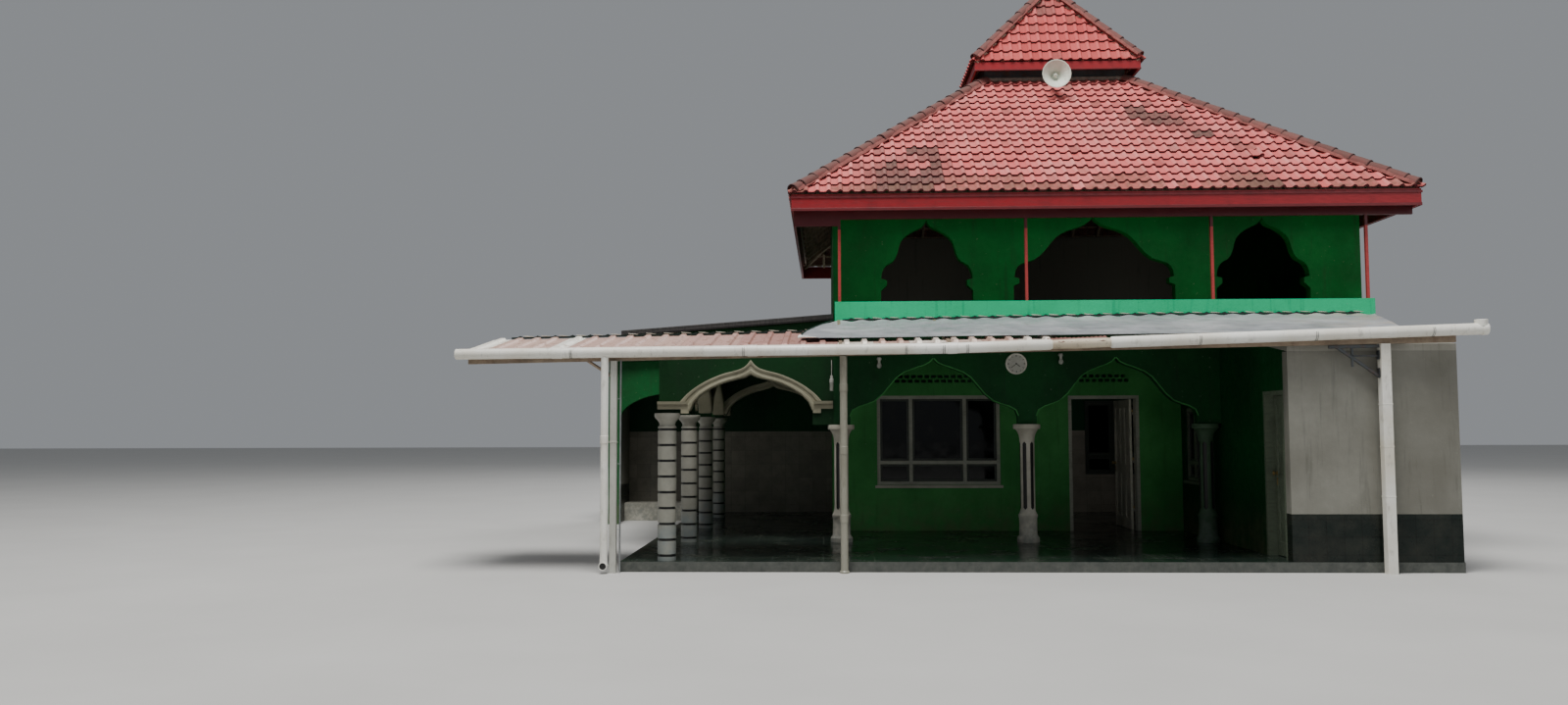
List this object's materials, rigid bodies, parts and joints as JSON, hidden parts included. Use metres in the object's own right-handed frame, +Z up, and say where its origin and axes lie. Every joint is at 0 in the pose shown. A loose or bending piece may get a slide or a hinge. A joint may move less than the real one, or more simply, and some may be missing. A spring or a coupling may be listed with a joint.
{
  "type": "village mosque building",
  "caption": "Small mosque with an arcaded veranda, open upper gallery, tiered tile hip roof, porch and sheet canopy.",
  "frame": {"origin": "centre of the building's plan at ground level", "axes": "+X to the right along the front, +Y towards the back, +Z up; the front faces -Y"},
  "size_m": [12.1334, 9.1126, 8.8998],
  "materials": {
    "dark_green_paint": "matt wall paint on render, weathered",
    "light_green_paint": "matt wall paint on render",
    "teal_paint": "satin wall paint",
    "white_wall": "matt whitewash on render",
    "pale_render": "painted cement",
    "floor_tile": "glossy dark floor tiles",
    "roof_tile": "red painted roof tiles, weathered",
    "red_fascia": "satin red paint",
    "red_steel": "red paint",
    "joinery": "faded pale paint",
    "window_glass": "clear",
    "white_pvc": "off-white, stained",
    "zinc_sheet": "dented corrugated sheet",
    "rusty_sheet": "brown-pink corrugated sheet",
    "dark_steel": "grey steel"
  },
  "bodies": {
    "building": {"plinth": "floor_tile", "upper_floor": "pale_render", "arcade_column_1": "pale_render", "arcade_column_2": "pale_render", "arcade_column_3": "pale_render", "porch_column_a": "pale_render", "porch_column_b": "pale_render", "porch_column_c": "pale_render", "porch_column_d": "pale_render", "arcade_wall": "dark_green_paint", "porch_front_arch": "dark_green_paint", "porch_side_arcade": "dark_green_paint", "porch_cross_arch": "dark_green_paint", "lean_to_roof": "dark_steel", "wing_arch_wall": "light_green_paint", "wing_left_wall": "white_wall", "wing_step": "pale_render", "wing_roof": "dark_steel", "hall_left_walls": "light_green_paint", "door_lintel_wall": "light_green_paint", "hall_front_wall_right": "light_green_paint", "back_wall": "dark_green_paint", "room_front_and_party_wall": "white_wall", "side_wall_over_door": "dark_green_paint", "side_wall_rear": "dark_green_paint", "side_room_roof": "pale_render", "hall_window_frame": "joinery", "rear_window_1_frame": "joinery", "rear_window_2_frame": "joinery", "hall_window_glass": "window_glass", "side_window_frame": "joinery", "entrance_door_frame": "joinery", "side_door_frame": "joinery", "wall_clock": "white_pvc", "upper_front_wall": "dark_green_paint", "upper_back_wall": "dark_green_paint", "upper_left_wall": "dark_green_paint", "upper_right_wall": "dark_green_paint", "parapet": "teal_paint", "eave_frame": "red_steel", "lower_roof": "roof_tile", "lower_fascia": "red_fascia", "roof_neck": "dark_steel", "top_roof": "roof_tile", "top_fascia": "red_fascia", "roof_cap": "pale_render", "loudspeaker_horn": "white_pvc", "canopy_sheet_left": "rusty_sheet", "canopy_sheet_right": "zinc_sheet", "canopy_frame": "dark_steel", "canopy_post_left": "white_pvc", "canopy_post_middle": "white_pvc", "canopy_post_right": "white_pvc", "gutter_pipe": "white_pvc", "downpipe": "white_pvc"},
    "entrance_leaf": {"entrance_door_leaf": "joinery"},
    "side_leaf": {"side_door_leaf": "joinery"}
  },
  "joints": [
    {"name": "entrance_door_hinge", "type": "hinge", "parent": "building", "child": "entrance_leaf", "pos_m": [2.8598, -0.058, 0.1198], "axis": [0, 0, 1], "range_deg": [0, 90]},
    {"name": "side_door_hinge", "type": "hinge", "parent": "building", "child": "side_leaf", "pos_m": [3.6938, -4.114, 0.1198], "axis": [0, 0, 1], "range_deg": [-85, 0]}
  ]
}
